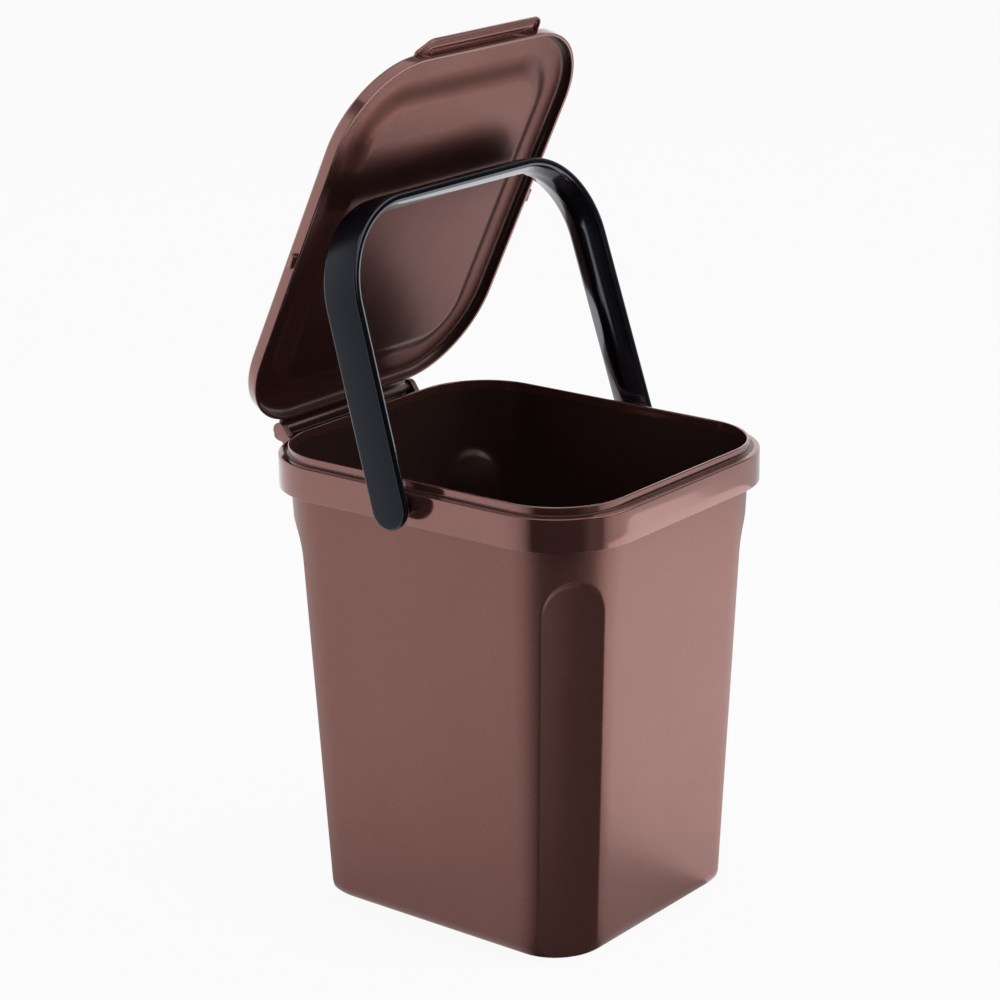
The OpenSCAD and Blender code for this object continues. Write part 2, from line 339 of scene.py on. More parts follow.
@dataclass(frozen=True)
class Polypropylene:
    """Moulded polypropylene with a pigment, an even gloss and a fine surface.

    Attributes:
        name: Name of the material.
        colour: Colour of the moulding as an sRGB hex value.
        shade: Darker colour of the pigment's clouds.
        metallic: Share of metal flake in the look.
        roughness: Mean roughness.
        grain_mm: Size of the surface's grain.
        grain_depth: Depth of the grain in millimetres.
        wave_mm: Length of the faint waves that cooling leaves.
        wave_depth: Height of those waves in millimetres.
        speckle: Strength of the flake's sparkle in the colour.
        ior: Index of refraction.
        coat: Weight of the clear skin over the pigment.
        coat_roughness: Roughness of that skin.
        specular: Level of the surface's own reflection, 0.5 for a plain one.
        tint: Colour of that reflection; a blue one is a painted cast that stands for the light's
            colour.
        cloud_mm: Size of the pigment's clouds.
        flake_mm: Size of the flakes, drawn coarser than real ones so that they show.
    """

    name: str
    colour: str
    shade: str
    metallic: float
    roughness: float
    grain_mm: float
    grain_depth: float
    wave_mm: float
    wave_depth: float
    speckle: float
    ior: float = 1.49
    coat: float = 0.0
    coat_roughness: float = 0.05
    specular: float = 0.5
    tint: str = "#ffffff"
    cloud_mm: float = 40.0
    flake_mm: float = 0.9

    def build(self) -> bpy.types.Material:
        """Make the node material.

        Returns:
            The material.
        """
        material = bpy.data.materials.new(self.name)
        material.use_nodes = True
        tree = material.node_tree
        shader = next(n for n in tree.nodes if n.type == "BSDF_PRINCIPLED")
        place = add_node(tree, "ShaderNodeTexCoord").outputs["Object"]
        clouds = self.noise(tree, place, self.cloud_mm, 2.0, 0.5)
        flakes = self.noise(tree, place, self.flake_mm, 1.0, 0.6)
        sparkle = add_node(tree, "ShaderNodeMapRange", {
            "Value": flakes, "From Min": 0.35, "From Max": 0.72,
            "To Min": 1 - self.speckle, "To Max": 1 + self.speckle})
        lit = add_node(tree, "ShaderNodeVectorMath", {
            0: self.mix(tree, clouds), 1: sparkle.outputs["Result"]}, operation="MULTIPLY")
        tree.links.new(lit.outputs["Vector"], shader.inputs["Base Color"])
        grain = self.noise(tree, place, self.grain_mm, 2.0, 0.55)
        wave = self.noise(tree, place, self.wave_mm, 1.0, 0.4)
        rough = add_node(tree, "ShaderNodeMapRange", {
            "Value": grain, "From Min": 0.3, "From Max": 0.7,
            "To Min": self.roughness * 0.9, "To Max": self.roughness * 1.1})
        tree.links.new(rough.outputs["Result"], shader.inputs["Roughness"])
        waves = add_node(tree, "ShaderNodeBump", {
            "Height": wave, "Strength": 1.0, "Distance": self.wave_depth * MM})
        bump = add_node(tree, "ShaderNodeBump", {
            "Height": grain, "Strength": 1.0, "Distance": self.grain_depth * MM,
            "Normal": waves.outputs["Normal"]})
        tree.links.new(bump.outputs["Normal"], shader.inputs["Normal"])
        for socket, value in {
                "Metallic": self.metallic, "IOR": self.ior, "Specular IOR Level": self.specular,
                "Specular Tint": linear(self.tint), "Coat Weight": self.coat,
                "Coat Roughness": self.coat_roughness}.items():
            shader.inputs[socket].default_value = value
        return material

    def noise(self, tree: bpy.types.NodeTree, place: bpy.types.NodeSocket, size: float,
              detail: float, roughness: float) -> bpy.types.NodeSocket:
        """Add a noise pattern.

        Args:
            tree: The material's tree.
            place: Socket with the place on the piece.
            size: Size of the pattern in millimetres.
            detail: Number of finer patterns in it.
            roughness: Strength of the finer patterns.

        Returns:
            Socket with the pattern, from 0 to 1.
        """
        return add_node(tree, "ShaderNodeTexNoise", {
            "Vector": place, "Scale": 1 / (size * MM), "Detail": detail,
            "Roughness": roughness}).outputs["Fac"]

    def mix(self, tree: bpy.types.NodeTree, factor: bpy.types.NodeSocket) -> bpy.types.NodeSocket:
        """Mix the moulding's two colours.

        Args:
            tree: The material's tree.
            factor: Socket with the share of the darker colour.

        Returns:
            The mixed colour's socket.
        """
        node = add_node(tree, "ShaderNodeMix", {0: factor}, data_type="RGBA")
        colours = [s for s in node.inputs if s.type == "RGBA"]
        colours[0].default_value = linear(self.colour)
        colours[1].default_value = linear(self.shade)
        return next(s for s in node.outputs if s.type == "RGBA")


# Metallic brown polypropylene from a spark-eroded mould: an even, soft sheen with a fine sparkle
GRAINED = Polypropylene(
    "pp_metallic_brown_grained", "#90615a", "#8a5b54", metallic=0.68, roughness=0.36,
    grain_mm=0.7, grain_depth=0.02, wave_mm=45, wave_depth=0.02, speckle=0.08,
    coat=0.3, coat_roughness=0.3)
# The same plastic from a polished mould face: a clear reflection with faint waves from cooling
POLISHED = Polypropylene(
    "pp_metallic_brown_polished", "#90605a", "#895953", metallic=0.78, roughness=0.13,
    grain_mm=2.5, grain_depth=0.0012, wave_mm=28, wave_depth=0.03, speckle=0.02,
    coat=0.8, coat_roughness=0.05)
# The lid's panel and the tab's dish: thin and a little wavy, which breaks up what they mirror.
# Their colour, darker than the polished one, is painted shade on the lid's underside and in the
# dish
PANEL = Polypropylene(
    "pp_metallic_brown_panel", "#82544d", "#784a44", metallic=0.86, roughness=0.36,
    grain_mm=2.5, grain_depth=0.0012, wave_mm=34, wave_depth=0.5, speckle=0.03,
    coat=0.15, coat_roughness=0.25)
# The same plastic with a darker colour, as painted shade where its own walls shade it: inside the
# bucket, at the lip's root, in the fillet of the lid's skirt and between the hinge ears
PAINTED_SHADE = Polypropylene(
    "pp_metallic_brown_painted_shade", "#5a3f3a", "#533935", metallic=0.6, roughness=0.3,
    grain_mm=1.2, grain_depth=0.004, wave_mm=40, wave_depth=0.03, speckle=0.03,
    coat=0.2, coat_roughness=0.2)
# Black polypropylene with a satin mould texture on the strap's outer face, its reflections tinted
# blue as painted light colour
SATIN = Polypropylene(
    "pp_black_satin", "#17181f", "#14151b", metallic=0.0, roughness=0.37,
    grain_mm=0.6, grain_depth=0.012, wave_mm=30, wave_depth=0.01, speckle=0.06,
    specular=0.3, tint="#e2e6ff")
# The same black from a polished mould face, on the strap's edges and inner side and the pivots
# Its reflections are tinted blue as painted light colour
GLOSS_BLACK = Polypropylene(
    "pp_black_polished", "#0e0f13", "#0c0d10", metallic=0.0, roughness=0.14,
    grain_mm=2.0, grain_depth=0.001, wave_mm=25, wave_depth=0.02, speckle=0.0,
    coat=0.5, coat_roughness=0.06, tint="#cfd6ff")
# The same black with a higher index and a full clear coat: a painted highlight on the slope along
# the strap's inner edge, its reflection tinted blue as painted light colour
PAINTED_HIGHLIGHT = Polypropylene(
    "pp_black_painted_highlight", "#15161c", "#121318", metallic=0.0, roughness=0.16,
    grain_mm=2.0, grain_depth=0.001, wave_mm=25, wave_depth=0.02, speckle=0.0,
    ior=2.0, coat=1.0, coat_roughness=0.06, tint="#dfe3ff")

FINISHES: dict[str, bpy.types.Material] = {}


def dress(mesh: bpy.types.Mesh, *finishes: Polypropylene,
          choose: Callable[[bpy.types.MeshPolygon], Polypropylene] | None = None) -> None:
    """Give a mesh its finishes, and each face its own.

    Args:
        mesh: The mesh.
        finishes: Its finishes, in the order of their material numbers.
        choose: Gives a face's finish. Without it every face has the first.
    """
    mesh.materials.clear()
    for finish in finishes:
        mesh.materials.append(FINISHES[finish.name])
    if choose:
        for face in mesh.polygons:
            face.material_index = finishes.index(choose(face))


# ---------------------------------------------------------------------------
# Bucket
# ---------------------------------------------------------------------------


@dataclass
class Bucket:
    """The bucket: tapered body, corner flutes, rim band, shelf, lip and hinge ears."""

    rim_w: float = 200.0
    rim_d: float = 230.0
    rim_z: float = 260.0
    rim_r: float = 48.0
    band_h: float = 18.5
    band_t: float = 2.0
    band_edge: float = 6.0
    shelf_w: float = 5.7
    shelf_t: float = 2.0
    shelf_mid: float = 3.2
    lip_h: float = 4.5
    lip_t: float = 1.6
    under_round: float = 0.4
    foot_round: float = 0.5
    edge_round: float = 0.9
    root_round: float = 0.8
    crest_round: float = 0.55
    foot_w: float = 171.0
    foot_d: float = 191.6
    foot_r: float = 34.0
    foot_edge: float = 12.0
    wall: float = 2.0
    floor_t: float = 2.6
    flute_w: float = 34.5
    flute_turn: float = 4.5
    flute_sag: float = 2.2
    flute_top: float = 224.0
    flute_head: float = 4.0
    flute_soft: float = 1.6
    edge_fillet: float = 0.7
    ear_x: float = 58.0
    ear_t: float = 4.0
    ear_r: float = 4.4
    ear_round: float = 0.6
    ear_rise: float = 7.0
    ear_neck: Point2 = (118.4, 259.3)
    ear_root_z: float = 259.2
    root_in: float = 1.0
    hinge_y: float = 125.5
    hinge_z: float = 262.0
    # Places y, z from the ear's lowest root point, along its foot
    ear_foot: tuple[Point2, ...] = ((0.0, 0.0), (2.6, 1.0), (5.0, 3.2))
    # Section y, z of the rail that runs between the ears under the barrel and up behind it
    rail: tuple[Point2, ...] = (
        (114.0, 258.2), (114.0, 254.4), (121.0, 254.6), (127.6, 255.8), (129.8, 257.0),
        (130.3, 258.6), (130.3, 260.8), (129.5, 260.8), (129.3, 259.4), (128.3, 258.3),
        (126.9, 258.05), (122.6, 258.1))
    # Rings of the rim, counted from its first, that lie in the shade at the lip's root and get the
    # painted shade
    root_rows: tuple[int, int] = (22, 28)
    # Columns across a flute, closer together over its two edges
    across: np.ndarray = field(default_factory=lambda: np.concatenate(
        [np.arange(-19.4, -14.9, 0.5), np.arange(-14.6, 14.7, 0.9), np.arange(14.9, 19.5, 0.5)]))
    # Heights of the rings: a plain wall, close rings over the head of the flutes, then the neck
    outer_z: np.ndarray = field(default_factory=lambda: np.concatenate(
        [np.linspace(20, 188, 16), np.arange(192, 226, 0.62), [228, 232, 240, 252, 257.6]]))
    inner_z: np.ndarray = field(default_factory=lambda: np.concatenate(
        [np.linspace(30, 186, 12), np.arange(190, 230, 1.0), [233, 240, 250, 259]]))

    def centre(self, t: float) -> Point2:
        """Find the centre of the corner arc at some height.

        Args:
            t: Share of the way from foot to rim.

        Returns:
            The centre's x and y.
        """
        foot = (self.foot_w / 2 - self.foot_r, self.foot_d / 2 - self.foot_r)
        rim = (self.rim_w / 2 - self.rim_r, self.rim_d / 2 - self.rim_r)
        return foot[0] + (rim[0] - foot[0]) * t, foot[1] + (rim[1] - foot[1]) * t

    def quarter(self, centre: Point2, radius: float, spread: float, z: float) -> np.ndarray:
        """Make one quarter of a ring, from the middle of the side to the middle of the back.

        Args:
            centre: Centre of the corner arc.
            radius: Radius of the corner arc.
            spread: Radius on which the columns over the flute are spaced.
            z: Height of the ring.

        Returns:
            Points of the quarter.
        """
        cx, cy = centre
        face = math.radians(45 + self.flute_turn)
        over = face + np.arcsin(np.clip(self.across / spread, -0.99, 0.99))
        turn = np.concatenate([
            np.linspace(0, over[0], 6, endpoint=False), over,
            np.linspace(over[-1], math.pi / 2, 4)[1:]])
        side = [[cx + radius, cy * f] for f in np.linspace(0, 1, 9)[:-1]]
        corner = np.stack([cx + radius * np.cos(turn), cy + radius * np.sin(turn)], 1)
        back = [[cx * f, cy + radius] for f in np.linspace(1, 0, 8)[1:]]
        flat = np.concatenate([side, corner, back])
        return np.column_stack([flat, np.full(len(flat), z)])

    def flute_frame(self) -> tuple[np.ndarray, np.ndarray]:
        """Work out where the flute in the +X +Y corner lies.

        Returns:
            The origin, and a matrix whose columns are out, across and up.
        """
        t = self.flute_top / self.rim_z
        lip_r = self.rim_r - self.shelf_w
        r_up = self.foot_r + (lip_r - self.foot_r) * t
        c_low = math.sqrt(self.foot_r ** 2 - self.flute_w ** 2 / 4)
        c_up = math.sqrt(r_up ** 2 - self.flute_w ** 2 / 4)
        face = math.radians(45 + self.flute_turn)
        n = np.array([math.cos(face), math.sin(face)])
        side = np.array([-n[1], n[0]])
        foot = np.array([self.foot_w, self.foot_d]) / 2
        lip = np.array([self.rim_w, self.rim_d]) / 2 - self.shelf_w
        p = foot - self.foot_r + c_low * n
        q = foot * (1 - t) + lip * t - r_up + c_up * n
        lean_side = -math.atan(float((q - p) @ side) / self.flute_top)
        lean_out = math.atan(float((q - p) @ n) / self.flute_top)
        axes = (Matrix.Rotation(face, 3, "Z") @ Matrix.Rotation(lean_side, 3, "X")
                @ Matrix.Rotation(lean_out, 3, "Y"))
        return np.array([p[0], p[1], 0.0]), np.array(axes)

    def press_flute(self, points: np.ndarray, grow: float) -> np.ndarray:
        """Sink the flute into the points of a quarter.

        Args:
            points: Points of the plain corner.
            grow: 0 on the outside, or the wall's thickness on the inside.

        Returns:
            The points with the flute in them.
        """
        origin, axes = self.flute_frame()
        local = (points - origin) @ axes
        half = self.flute_w / 2 + 0.6 * grow
        end = self.flute_top - self.flute_w / 2 - self.flute_head
        rho = np.where(local[:, 2] < end, np.abs(local[:, 1]),
                       np.hypot(local[:, 1], local[:, 2] - end))
        hollow = np.cos(np.clip(rho / half, 0, 1) * math.pi / 2)
        dish = -(self.flute_sag + grow) * hollow - 0.15 * grow
        soft = self.flute_soft
        past = rho - half
        ledge = np.where(past > soft, past,
                         np.where(past < -soft, 0, (past + soft) ** 2 / (4 * soft)))
        floor = dish + ledge
        k = self.edge_fillet + 0.5 * grow
        depth = local[:, 0]
        mix = np.clip(0.5 + 0.5 * (floor - depth) / k, 0, 1)
        local[:, 0] = floor * (1 - mix) + depth * mix - k * mix * (1 - mix)
        return local @ axes.T + origin

    def ring(self, quarter: np.ndarray) -> np.ndarray:
        """Mirror a quarter into a whole ring.

        Args:
            quarter: Points of the quarter.

        Returns:
            Points of the ring.
        """
        flip_x = quarter * [-1, 1, 1]
        flip_y = quarter * [1, -1, 1]
        both = quarter * [-1, -1, 1]
        return np.concatenate([quarter[:-1], flip_x[::-1][:-1], both[:-1], flip_y[::-1][:-1]])

    def wall_rows(self, inset: float, inset_top: float, bottom: float, heights: np.ndarray,
                  round_steps: int) -> list[np.ndarray]:
        """Make the rings of one side of the wall, from its flat bottom upwards.

        Args:
            inset: Distance inside the outer face at the foot.
            inset_top: The same at the rim.
            bottom: Height of the flat bottom.
            heights: Heights of the rings over the rounded edge.
            round_steps: Number of rings in the rounded edge.

        Returns:
            The rings, lowest first.
        """
        edge = self.foot_edge - inset
        radius = self.foot_r - inset
        rows = []
        for angle in np.radians(np.linspace(0, 90, round_steps + 1)):
            shrink = edge * (1 - math.sin(angle))
            z = bottom + edge * (1 - math.cos(angle))
            plain = self.quarter(self.centre(0), radius - shrink, radius, z)
            rows.append(self.ring(self.press_flute(plain, inset)))
        top_r = self.rim_r - self.shelf_w - inset_top
        for z in heights:
            t = (z - bottom - edge) / (self.rim_z - 1 - bottom - edge)
            here = radius + (top_r - radius) * t
            plain = self.quarter(self.centre(t), here, here, z)
            rows.append(self.ring(self.press_flute(plain, inset)))
        return rows

    def rim_section(self) -> list[Point2]:
        """Draw band, shelf and lip, from under the shelf round to the inside of the lip.

        Returns:
            Points as inset and height.
        """
        low, top, lip = self.rim_z - self.band_h, self.rim_z, self.rim_z + self.lip_h
        under, join = top - self.shelf_t, self.shelf_w + self.lip_t
        inside = self.band_t + self.under_round
        points = [(self.shelf_w - self.under_round, under), (inside, under)]
        points += arc(inside, under - self.under_round, self.under_round, 90, 180, 3)
        points += [(self.band_t, low + 0.3), (self.band_t - 0.3, low), (self.foot_round, low)]
        points += arc(self.foot_round, low + self.foot_round, self.foot_round, 270, 180, 4)[1:]
        points += [(0.0, low + self.band_edge), (0.0, top - self.band_edge)]
        points += arc(self.edge_round, top - self.edge_round, self.edge_round, 180, 90, 6)
        points += [(self.shelf_mid, top)]
        points += arc(self.shelf_w - self.root_round, top + self.root_round, self.root_round,
                      270, 360, 5)
        crest = self.crest_round
        points += arc(self.shelf_w + crest, lip - crest, crest, 180, 90, 5)
        return points + arc(join - crest, lip - crest, crest, 90, 0, 5)

    def shell(self) -> bpy.types.Object:
        """Build the bucket's moulding without its ears.

        Returns:
            The object, with three finishes.
        """
        outer = self.wall_rows(0, 0, 0, self.outer_z, 24)
        rim = []
        for inset, z in self.rim_section():
            radius = self.rim_r - inset
            rim.append(self.ring(self.quarter(self.centre(1), radius, radius, z)))
        inner = self.wall_rows(self.wall, self.lip_t, self.floor_t, self.inner_z, 12)[::-1]
        rows = outer + rim + inner
        count = len(rows[0])
        block = loft(rows)
        underside = len(block[1]) - 2

        def finish_of(face: bpy.types.MeshPolygon) -> Polypropylene:
            """Choose the finish of a face by the ring that it starts from.

            Args:
                face: The face.

            Returns:
                Grained outside, polished round the rim, and painted shade inside and at the lip's
                root.
            """
            row = face.index // count - len(outer)
            if face.index == underside or row < -1:
                return GRAINED
            # Inside and at the lip's root the darker copy is painted shade
            shaded = row >= len(rim) or self.root_rows[0] <= row < self.root_rows[1]
            return PAINTED_SHADE if shaded else POLISHED

        mesh = mesh_from("bucket_shell", block)
        dress(mesh, GRAINED, POLISHED, PAINTED_SHADE, choose=finish_of)
        tidy(mesh, 40)
        return make_object("bucket_shell", mesh)

    def ears(self) -> bpy.types.Object:
        """Build the two hinge ears behind the band, with the rail between them.

        Returns:
            The object.
        """
        root, low = self.rim_d / 2 - self.root_in, self.rim_z - self.band_h + self.ear_rise
        outline = [(root + y, low + z) for y, z in self.ear_foot]
        outline += arc(self.hinge_y, self.hinge_z, self.ear_r, -20, 140, 18)
        outline += [self.ear_neck, (root, self.ear_root_z)]
        inner = self.ear_x - self.ear_t
        mesh = mesh_from("hinge_ears", gather([
            prism(outline, -self.ear_x, -inner), prism(outline, inner, self.ear_x),
            prism(list(self.rail), 1 - self.ear_x, self.ear_x - 1)]))
        tidy(mesh, 30)
        obj = make_object("hinge_ears", mesh)
        bevelled(obj, self.ear_round)
        dress(obj.data, POLISHED, PAINTED_SHADE, choose=self.ear_finish)
        smooth(obj.data)
        return obj

    def ear_finish(self, face: bpy.types.MeshPolygon) -> Polypropylene:
        """Choose the finish of a face of the ears and their rail.

        Args:
            face: The face.

        Returns:
            Polished on the ears' outer sides, behind and below, and the darker copy as painted
            shade in the hinge's gap.
        """
        turned, tipped = 0.4, -0.3
        outer_side = face.center[0] * face.normal[0] > turned * self.ear_x * MM
        behind, below = face.normal[1] > turned, face.normal[2] < tipped
        # Faces in the hinge's gap get the darker copy: painted shade
        return POLISHED if outer_side or behind or below else PAINTED_SHADE

    def build(self) -> list[bpy.types.Object]:
        """Build and seat the bucket's pieces.

        Returns:
            The pieces, the shell first.
        """
        shell, ears = self.shell(), self.ears()
        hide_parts("bucket")
        return [shell, ears]


# ---------------------------------------------------------------------------
# Geometry Nodes
# ---------------------------------------------------------------------------


class Sweep:
    """A Geometry Nodes tree that carries the object's own open or closed section along a path."""

    def __init__(self, name: str) -> None:
        """Start the tree with a geometry in and out.

        Args:
            name: Name of the tree.
        """
        self.tree = bpy.data.node_groups.new(name, "GeometryNodeTree")
        for way in ("INPUT", "OUTPUT"):
            self.tree.interface.new_socket(
                "Geometry", in_out=way, socket_type="NodeSocketGeometry")
        self.source = self.tree.nodes.new("NodeGroupInput")
        self.sink = self.tree.nodes.new("NodeGroupOutput")

    def size(self, name: str, kind: str = "NodeSocketFloat") -> bpy.types.NodeSocket:
        """Add a named input and return its socket in the tree."""
        self.tree.interface.new_socket(name, in_out="INPUT", socket_type=kind)
        return self.source.outputs[name]

    def node(self, kind: str, links: dict | None = None, **settings) -> bpy.types.Node:
        """Add a node to the tree."""
        return add_node(self.tree, kind, links, **settings)

    def maths(self, operation: str, *values: bpy.types.NodeSocket | float) -> bpy.types.NodeSocket:
        """Add a Math node and return its result."""
        return self.node("ShaderNodeMath", dict(enumerate(values)), operation=operation).outputs[0]

    def profile(self) -> bpy.types.NodeSocket:
        """Turn the object's own chain of edges into a curve and return it."""
        geometry = self.source.outputs["Geometry"]
        return self.node("GeometryNodeMeshToCurve", {"Mesh": geometry}).outputs[0]

    def finish(self, geometry: bpy.types.NodeSocket, material: bpy.types.Material) -> None:
        """End the tree in Merge by Distance, Realize Instances and Set Material.

        Args:
            geometry: Socket with the finished geometry.
            material: Its material.
        """
        merged = self.node(
            "GeometryNodeMergeByDistance", {"Geometry": geometry, "Distance": FINE})
        real = self.node("GeometryNodeRealizeInstances", {"Geometry": merged.outputs[0]})
        dressed = self.node(
            "GeometryNodeSetMaterial", {"Geometry": real.outputs[0], "Material": material})
        self.tree.links.new(dressed.outputs[0], self.sink.inputs[0])

    def apply(self, obj: bpy.types.Object, values: dict) -> bpy.types.Object:
        """Run the tree on an object and keep the plain mesh.

        Args:
            obj: The object whose mesh is the section.
            values: Input names and their values.

        Returns:
            The same object with its new mesh.
        """
        modifier = obj.modifiers.new(self.tree.name, "NODES")
        modifier.node_group = self.tree
        for item in self.tree.interface.items_tree:
            if item.in_out == "INPUT" and item.name in values:
                modifier[item.identifier] = values[item.name]
        return freeze(obj)


def section_object(name: str, points: list[Point3], closed: bool) -> bpy.types.Object:
    """Make an object whose mesh is a chain of edges, in millimetres.

    Args:
        name: Name of the object.
        points: The chain's points.
        closed: Whether the last point joins the first.

    Returns:
        The object.
    """
    edges = [(k, k + 1) for k in range(len(points) - 1)]
    if closed:
        edges.append((len(points) - 1, 0))
    mesh = bpy.data.meshes.new(name)
    mesh.from_pydata([tuple(c * MM for c in p) for p in points], edges, [])
    return make_object(name, mesh)


# ---------------------------------------------------------------------------
# Lid
# ---------------------------------------------------------------------------


@dataclass
class Lid:
    """The lid: skirt, raised border, sunken panel, grip tab, side catches and hinge leaf."""

    lid_w: float = 199.8
    lid_d: float = 234.6
    lid_r: float = 51.5
    base_z: float = 260.4
    lid_h: float = 7.9
    sheet: float = 1.9
    border_w: float = 21.9
    border_soft: float = 5.5
    skirt_round: float = 2.8
    skirt_fillet: float = 3.6
    panel_drop: float = 4.9
    panel_edge: float = 1.5
    step_w: float = 15.0
    tab_w: float = 104.0
    tab_out: float = 7.6
    tab_lip: float = 3.1
    tab_root: float = 1.2
    catch_out: float = 3.2
    catch_l: float = 8.0
    catch_in: float = 1.0
    catch_rise: float = 0.4
    catch_round: float = 0.4
    hinge_y: float = 125.5
    hinge_z: float = 262.0
    barrel_d: float = 6.4
    barrel_x: float = 53.6
    leaf_round: float = 0.35
    pin_d: float = 4.0
    pin_x: float = 57.0
    pin_round: float = 0.4
    pin_root: float = 2.0
    open_angle: float = 64.222
    # The hinge leaf's upper side: places y, each with its drop below the border
    leaf_over: tuple[Point2, ...] = ((118.6, 0.45), (121.6, 0.75), (124.6, 1.7))
    # A point y, z on the leaf's underside, next to the barrel
    leaf_under: Point2 = (121.6, 264.9)
    # The catch's section: places outwards from its tip, each with its height
    catch_nose: tuple[Point2, ...] = ((-0.6, 0.0), (0.0, 0.7), (-0.5, 2.6))
    # The tab's rings, as inset and drop: its crest, its lip's two sides and its dish
    tab_crest: tuple[Point2, ...] = ((6.0, 0.15), (1.6, 0.12), (0.8, 0.35), (0.25, 0.9), (0.0, 1.5))
    tab_lip_rise: tuple[Point2, ...] = (
        (0.0, 0.5), (0.12, 0.2), (0.4, 0.0), (0.8, 0.0), (1.1, 0.2), (1.25, 0.5))
    tab_dish: tuple[Point2, ...] = (
        (1.4, 2.0), (1.8, 1.75), (2.6, 1.7), (3.6, 1.85), (4.6, 2.2), (6.0, 3.0))

    @property
    def top(self) -> float:
        """Height of the shut lid's border."""
        return self.base_z + self.lid_h

    def well(self, share: float) -> float:
        """Depth of the soft step from border to panel, at a share of its width."""
        return self.panel_drop * share * share * (3 - 2 * share)

    def section(self) -> list[Point2]:
        """Draw skirt, border and well, round from the panel's top to its underside.

        Returns:
            Points as inset and height.
        """
        top, low, t = self.top, self.base_z, self.sheet
        start, width = self.border_w - self.border_soft, self.step_w
        end, panel = start + width + self.panel_edge, top - self.panel_drop
        step = [(start + width * f, top - self.well(f)) for f in np.linspace(1, 0, 14)]
        above = [(end, panel)] + step + [(start - 3, top), (7.0, top)]
        above += arc(3.2, top - self.skirt_round, self.skirt_round, 90, 172, 8)
        above += [(0.15, low + 1.6), (0.0, low + 0.45), (0.12, low + 0.12), (0.5, low),
                  (1.35, low), (1.75, low + 0.15), (1.9, low + 0.5)]
        below = [(2.0, low + 1.4)]
        below += arc(t + 3.7, top - t - self.skirt_fillet, self.skirt_fillet, 180, 90, 9)
        below += [(9.0, top - t), (start - 2, top - t)]
        below += [(x, z - t) for x, z in step[::-1]] + [(end, panel - t)]
        return above + below

    def shell(self) -> bpy.types.Object:
        """Sweep the section round the lid's outline and fill the panel.

        Returns:
            The object, shut.
        """
        section = self.section()
        obj = section_object("lid_shell", [(-x, -z, 0.0) for x, z in section], False)
        sweep = Sweep("lid_frame")
        width, depth, radius, inset = (
            sweep.size(name) for name in ("Width", "Depth", "Corner radius", "Panel inset"))
        steps = sweep.size("Corner steps", "NodeSocketInt")
        levels = [sweep.size(name) for name in ("Panel top", "Panel underside")]

        def outline(inwards: bpy.types.NodeSocket | float) -> bpy.types.NodeSocket:
            """Add a rounded rectangle that lies inside the lid's outline.

            Args:
                inwards: Distance inside the outline.

            Returns:
                Socket with the rectangle as a curve.
            """
            double = sweep.maths("MULTIPLY", inwards, 2.0)
            box = sweep.node("GeometryNodeCurvePrimitiveQuadrilateral", {
                "Width": sweep.maths("SUBTRACT", width, double),
                "Height": sweep.maths("SUBTRACT", depth, double)}, mode="RECTANGLE")
            return sweep.node("GeometryNodeFilletCurve", {
                "Curve": box.outputs[0], "Radius": sweep.maths("SUBTRACT", radius, inwards),
                "Count": steps}, mode="POLY").outputs[0]

        border = sweep.node("GeometryNodeCurveToMesh", {
            "Curve": outline(0.0), "Profile Curve": sweep.profile()})
        joined = sweep.node("GeometryNodeJoinGeometry", {0: border.outputs[0]})
        for height in levels:
            fill = sweep.node(
                "GeometryNodeFillCurve", {"Curve": outline(inset)}, mode="NGONS")
            lift = sweep.node("ShaderNodeCombineXYZ", {"Z": height})
            moved = sweep.node("GeometryNodeTransform", {
                "Geometry": fill.outputs[0], "Translation": lift.outputs[0]})
            sweep.tree.links.new(moved.outputs[0], joined.inputs[0])
        sweep.finish(joined.outputs[0], FINISHES[POLISHED.name])
        sweep.apply(obj, {
            "Width": self.lid_w * MM, "Depth": self.lid_d * MM, "Corner radius": self.lid_r * MM,
            "Panel inset": section[0][0] * MM, "Corner steps": 28,
            "Panel top": section[0][1] * MM, "Panel underside": section[-1][1] * MM})
        tidy(obj.data, 42, FINE)
        dress(obj.data, POLISHED, PANEL, PAINTED_SHADE, choose=self.shell_finish)
        return obj

    def shell_finish(self, face: bpy.types.MeshPolygon) -> Polypropylene:
        """Choose the finish of a face of the shut lid.

        Args:
            face: The face.

        Returns:
            Polished outside, the panel's darker finish (partly painted shade) under border and
            panel, and the darker copy as painted shade in the skirt's fillet.
        """
        x, y, z = (abs(c) / MM for c in face.center)
        half_w, half_d = self.lid_w / 2, self.lid_d / 2
        inset = -max(x - half_w, y - half_d)
        corner = (half_w - self.lid_r, half_d - self.lid_r)
        if x > corner[0] and y > corner[1]:
            inset = self.lid_r - math.hypot(x - corner[0], y - corner[1])
        skirt_w, fillet_end, tipped = 1.8, 5.2, -0.15
        down = face.normal[2] < tipped
        if inset > fillet_end:
            return PANEL if down else POLISHED
        inner_top = self.top - self.sheet
        under = (down or z < inner_top - 0.05) and z < inner_top + 0.05
        # The skirt's fillet gets the darker copy as painted shade
        return PAINTED_SHADE if inset > skirt_w and under else POLISHED

    def tab_plan(self) -> list[Point2]:
        """Draw the grip tab from its square end round the tip to its slanted end.

        Returns:
            Points x, y.
        """
        front, half = -self.lid_d / 2, self.tab_w / 2
        reach, root = front - self.tab_out, front + self.tab_root
        tip_r, slant_r, middle = 5, 11, 20.0
        plan = [(half, root), (half, front - 1.5)]
        plan += arc(half - tip_r, reach + tip_r, tip_r, 0, -90, 10)
        plan += [(middle, reach), (0.0, reach), (-middle, reach)]
        plan += arc(14.0 - half, reach + slant_r, slant_r, 270, 232, 8)
        plan += [(1.2 - half, front - 1.9), (0.2 - half, front - 0.9), (-half, front + 0.2)]
        return plan + [(-half, root)]

    def tab(self) -> bpy.types.Object:
        """Build the grip tab: a thin lip round a shallow dish that deepens towards the skirt.

        Returns:
            The object, shut.
        """
        plan = self.tab_plan()
        count, lip = len(plan), self.tab_lip
        root = -self.lid_d / 2 + self.tab_root

